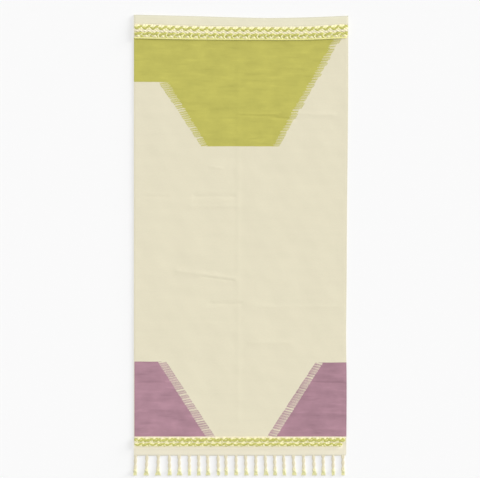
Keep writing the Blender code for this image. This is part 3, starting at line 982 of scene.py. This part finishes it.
def stitchTree(values):
    tree, given = newTree("hemStitches", values)
    line = evenSteps(tree, guideCurve(tree, given), stitch["pitch"])
    half = stitch["length"] / 2
    bar = straight(tree, (-half, 0.0, 0.0), (half, 0.0, 0.0), 7)
    _, fromEnd = splineLength(tree)
    fromMiddle = 1.0 - fromEnd / half
    bar = moved(tree, bar, joinXYZ(tree, 0.0, 0.0, fromMiddle * fromMiddle * -stitch["dip"]))
    bar = sweep(tree, bar, stitch["radius"], stitch["sides"], stitch["roundEnd"])
    forward = outputOf(tree, "GeometryNodeInputTangent")
    facing = outputOf(tree, "FunctionNodeAlignRotationToVector", {"Vector": forward}, axis="X")
    size = chanceFor(tree, stitch["shortest"], stitch["longest"], given["Seed"])
    placed = outputOf(tree, "GeometryNodeInstanceOnPoints", {
        "Points": line, "Instance": bar, "Rotation": facing, "Scale": joinXYZ(tree, size, 1.0, 1.0)})
    closeTree(tree, placed, given["Material"])
    return tree


def buildStitches():
    height = cloth["hemThickness"] + stitch["above"]
    guide = guideLine("hemStitches", stitch["line"], [upperBow], stitch["endGap"], stitch["endGap"],
                      height)
    values = {"Seed": stitch["seed"], "Material": yarns["hemThread"]}
    return grow("hemStitches", stitchTree, values, guide)


# The tassels

tassel = {
    "firstX": -0.2952,
    "lastX": 0.2876,
    "length": 0.0577,
    "step": 0.0012,
    # the neck, which lies flattened on the floor
    "neckInside": 0.0020,  # how far it reaches in over the cloth's edge
    "neckEnd": 0.0400,
    "neckHeight": 0.0018,
    "neckPressed": 0.6,
    "twistReach": 0.00175,
    "twistRise": 0.00050,
    "twistTurn": 0.034,
    "threadReach": 0.00140,
    "threadRise": 0.00050,
    "threadTurn": 0.0170,
    "threadRadius": 0.00160,
    "root": 0.0085,  # so far from the cloth it is wider, flatter and thinner, by these shares
    "rootSpread": 0.6,
    "rootTwistRise": 0.30,
    "rootThreadRise": 0.65,
    "rootThreadRadius": 0.85,
    "phaseStep": 0.207,  # of a turn, from one tassel's twist to the next
    # the knot
    "knotAt": 0.0415,
    "knotEnd": 0.0450,
    "knotHeight": 0.0038,
    "knotRadius": 0.0037,
    "knotTaper": 0.94,
    "knotPressed": 0.62,
    "knotLength": 0.0042,
    "knotTurns": 2.15,
    "knotYarn": 0.00140,
    # the brush
    "brushRoot": 0.0074,
    "brushInKnot": 0.0016,
    "brushOpening": 0.35,  # how much of its spread follows a curve and not a straight line
    "rootHeights": (0.0016, 0.0052),
    "tipHeights": (0.0007, 0.0019),
    "tipShort": 0.0004,
    "tipUneven": 0.0026,
    "waves": 1.4,
    "waveReach": 0.00045,
    "yarnRadius": 0.00062,
    "yarnTip": 0.55,  # its tip's radius, as a part of the full one
    "yarnPitch": 0.00085,
    "yarnsMore": 5,
}

# shift from even spacing, lean of the foot, width of the brush, one row for each tassel from the left
tasselRows = [
    (0.0000, -0.0017, 0.0113),
    (0.0042, -0.0023, 0.0169),
    (0.0083, -0.0014, 0.0188),
    (0.0112, 0.0014, 0.0127),
    (0.0111, 0.0011, 0.0174),
    (0.0117, 0.0008, 0.0092),
    (0.0107, 0.0003, 0.0121),
    (0.0079, 0.0017, 0.0146),
    (0.0098, 0.0011, 0.0094),
    (0.0036, 0.0017, 0.0101),
    (0.0046, 0.0008, 0.0132),
    (0.0035, 0.0025, 0.0138),
    (0.0048, 0.0003, 0.0124),
    (0.0032, 0.0031, 0.0163),
    (0.0019, 0.0020, 0.0127),
    (-0.0003, 0.0023, 0.0115),
    (-0.0010, 0.0034, 0.0152),
    (0.0002, 0.0008, 0.0155),
    (0.0004, 0.0031, 0.0163),
    (-0.0002, 0.0008, 0.0146),
    (0.0000, 0.0008, 0.0093),
    (0.0000, 0.0008, 0.0101),
]


def tasselTree(values):
    t = tassel
    tree, given = newTree("tassel", values)
    edgeY = cloth["fringedEdgeY"]
    rootX, lean = given["Root X"], given["Lean"]

    def middleX(distance):
        return rootX + lean * (distance / t["length"])

    def fromRoot(share):
        # this share at the cloth, and 1 past the neck's root
        here, _ = splineLength(tree)
        return here.ramp(0.0, t["root"], share, 1.0)

    # the neck: two plies of three threads
    neck = outputOf(tree, "GeometryNodeCurvePrimitiveLine", {
        "Start": joinXYZ(tree, rootX, edgeY + t["neckInside"], t["neckHeight"]),
        "End": joinXYZ(tree, middleX(t["neckEnd"]), edgeY - t["neckEnd"], t["neckHeight"])})
    neck = evenSteps(tree, neck, t["step"])
    full = fromRoot(t["rootTwistRise"])
    wide = 1.0 + t["rootSpread"] - t["rootSpread"] * full
    neck, _ = lay(tree, neck, 2, wide * t["twistReach"], full * t["twistRise"], t["twistTurn"],
                  given["Phase"], t["step"])
    full = fromRoot(t["rootThreadRise"])
    neck, _ = lay(tree, neck, 3, t["threadReach"], full * t["threadRise"], t["threadTurn"], 0.0,
                  t["step"])
    neckTubes = sweep(tree, neck, fromRoot(t["rootThreadRadius"]) * t["threadRadius"], 6, 0.0008)
    neckTubes = pressed(tree, neckTubes, t["neckHeight"], t["neckPressed"])

    # the knot: two close turns of yarn, on their side
    coil = outputOf(tree, "GeometryNodeCurveSpiral", {
        "Resolution": 14, "Rotations": t["knotTurns"], "Height": t["knotLength"],
        "Start Radius": t["knotRadius"], "End Radius": t["knotRadius"] * t["knotTaper"]})
    coil = outputOf(tree, "GeometryNodeTransform", {
        "Geometry": coil, "Rotation": (math.pi / 2, 0.0, 0.0)})
    knotY = edgeY - t["knotAt"] + t["knotLength"] / 2
    coil = outputOf(tree, "GeometryNodeTransform", {
        "Geometry": coil, "Scale": (1.0, 1.0, t["knotPressed"]),
        "Translation": joinXYZ(tree, middleX(t["knotAt"]), knotY, t["knotHeight"])})
    knotTubes = sweep(tree, coil, t["knotYarn"], 8, 0.0016)

    # the brush: loose yarn ends that spread over the floor
    yarn = straight(tree, (0.0, 0.0, 0.0), (0.0, -1.0, 0.0), 10)
    yarn, number = copies(tree, yarn, given["Yarns"])
    t01 = Wire(tree, tree.nodes.new("GeometryNodeSplineParameter").outputs["Factor"])
    seed = given["Seed"]
    side = (number + 0.5) / given["Yarns"] - 0.5
    tipSide = side + chanceFor(tree, -0.5, 0.5, seed, number) / given["Yarns"]
    spread = given["Brush Width"] - 2 * t["yarnRadius"]
    opened = t01.ramp(0.0, 1.0) * t["brushOpening"] + t01 * (1 - t["brushOpening"])
    startX = middleX(t["knotEnd"]) + side * t["brushRoot"]
    endX = rootX + lean + tipSide * spread
    wave = (t01 * t["waves"] + chanceFor(tree, 0.0, 1.0, seed + 1.0, number)).turns() * t01
    x = startX + (endX - startX) * opened + wave * t["waveReach"]
    startY = edgeY - t["knotEnd"] + t["brushInKnot"]
    endY = edgeY - t["length"] + t["tipShort"]
    short = chanceFor(tree, 0.0, t["tipUneven"], seed + 2.0, number) * number.above(0.5)
    y = startY - t01 * (startY - endY - short)
    startZ = chanceFor(tree, *t["rootHeights"], seed + 3.0, number)
    endZ = chanceFor(tree, *t["tipHeights"], seed + 4.0, number)
    z = startZ + (endZ - startZ) * t01.ramp(0.0, 0.6)
    yarn = outputOf(tree, "GeometryNodeSetPosition", {
        "Geometry": yarn, "Position": joinXYZ(tree, x, y, z)})
    brushTubes = sweep(tree, yarn, t01.ramp(0.35, 1.0, 1.0, t["yarnTip"]) * t["yarnRadius"], 5, 0.0011)

    whole = tree.nodes.new("GeometryNodeJoinGeometry")
    for tubes in (neckTubes, knotTubes, brushTubes):
        feed(tree, whole.inputs[0], tubes)
    closeTree(tree, whole.outputs[0], given["Material"])
    return tree


def buildTassels():
    spacing = (tassel["lastX"] - tassel["firstX"]) / (len(tasselRows) - 1)
    made = []
    for i, (shift, lean, brushWidth) in enumerate(tasselRows):
        piece = grow(f"tassel{i + 1:02d}", tasselTree, {
            "Root X": tassel["firstX"] + spacing * i + shift, "Lean": lean, "Brush Width": brushWidth,
            "Yarns": round(brushWidth / tassel["yarnPitch"]) + tassel["yarnsMore"],
            "Phase": i * tassel["phaseStep"], "Seed": 10 * i, "Material": yarns["fringeYarn"]})
        made.append((piece, f"tassel_{i + 1:02d}"))
    return made


# Floor, light and camera

studio = {
    "floorReach": 8.0,
    "floorHeight": -0.0003,
    "floorColour": (0.918, 0.918, 0.918, 1.0),
    "worldStrength": 0.46,
    "lens": 160.0,
    "cameraPlace": (-0.0018, 0.0180, 6.0),
}

# name, strength, width in degrees, direction: one light overhead, and a low one from the right and the
# hemmed end that picks out the creases
lights = [
    ("overheadLight", 1.30, 50, (-0.05, -0.05, -1.0)),
    ("rakingLight", 2.55, 24, (-0.85, -0.48, -0.21)),
]


def buildStudio():
    mesh = bpy.data.meshes.new("floor")
    far = studio["floorReach"]
    corners = (-far, -far), (far, -far), (far, far), (-far, far)
    mesh.from_pydata([(x, y, studio["floorHeight"]) for x, y in corners], [], [(0, 1, 2, 3)])
    floor = addObject("floor", mesh)
    material, _, shader = newMaterial("paleFloor", 0.9, 0.0)
    shader.inputs["Base Color"].default_value = studio["floorColour"]
    shader.inputs["Specular IOR Level"].default_value = 0.0
    mesh.materials.append(material)

    world = bpy.data.worlds.new("softStudio")
    world.use_nodes = True
    background = world.node_tree.nodes["Background"]
    background.inputs["Color"].default_value = (1.0, 1.0, 1.0, 1.0)
    background.inputs["Strength"].default_value = studio["worldStrength"]
    scene.world = world
    for name, strength, width, towards in lights:
        sun = bpy.data.lights.new(name, "SUN")
        sun.energy = strength
        sun.angle = math.radians(width)
        lamp = addObject(name, sun)
        lamp.rotation_euler = Vector(towards).to_track_quat("-Z", "Y").to_euler()

    camera = bpy.data.cameras.new("camera")
    camera.sensor_width = 36.0
    camera.lens = studio["lens"]
    viewer = addObject("camera", camera)
    viewer.location = studio["cameraPlace"]
    scene.camera = viewer
    scene.view_settings.view_transform = "Standard"


# The making

buildStudio()
print("studio ready")

clothCotton = wovenCotton()
yarns = {name: yarnMaterial(name, *kind) for name, kind in yarnKinds.items()}
print("materials ready")

clothPiece = buildCloth(clothCotton)
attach(clothPiece, "root")
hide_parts("woven_cloth")
print("cloth woven:", len(clothPiece.data.polygons), "faces")

for piece, node in buildPlaits():
    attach(piece, "root")
    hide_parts(node)

for piece in buildTwines():
    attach(piece, "root")
stitches = buildStitches()
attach(stitches, "root")
print("twined rows and stitches sewn")

for piece, node in buildTassels():
    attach(piece, "root")
    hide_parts(node)
print("tassels knotted:", len(tasselRows))
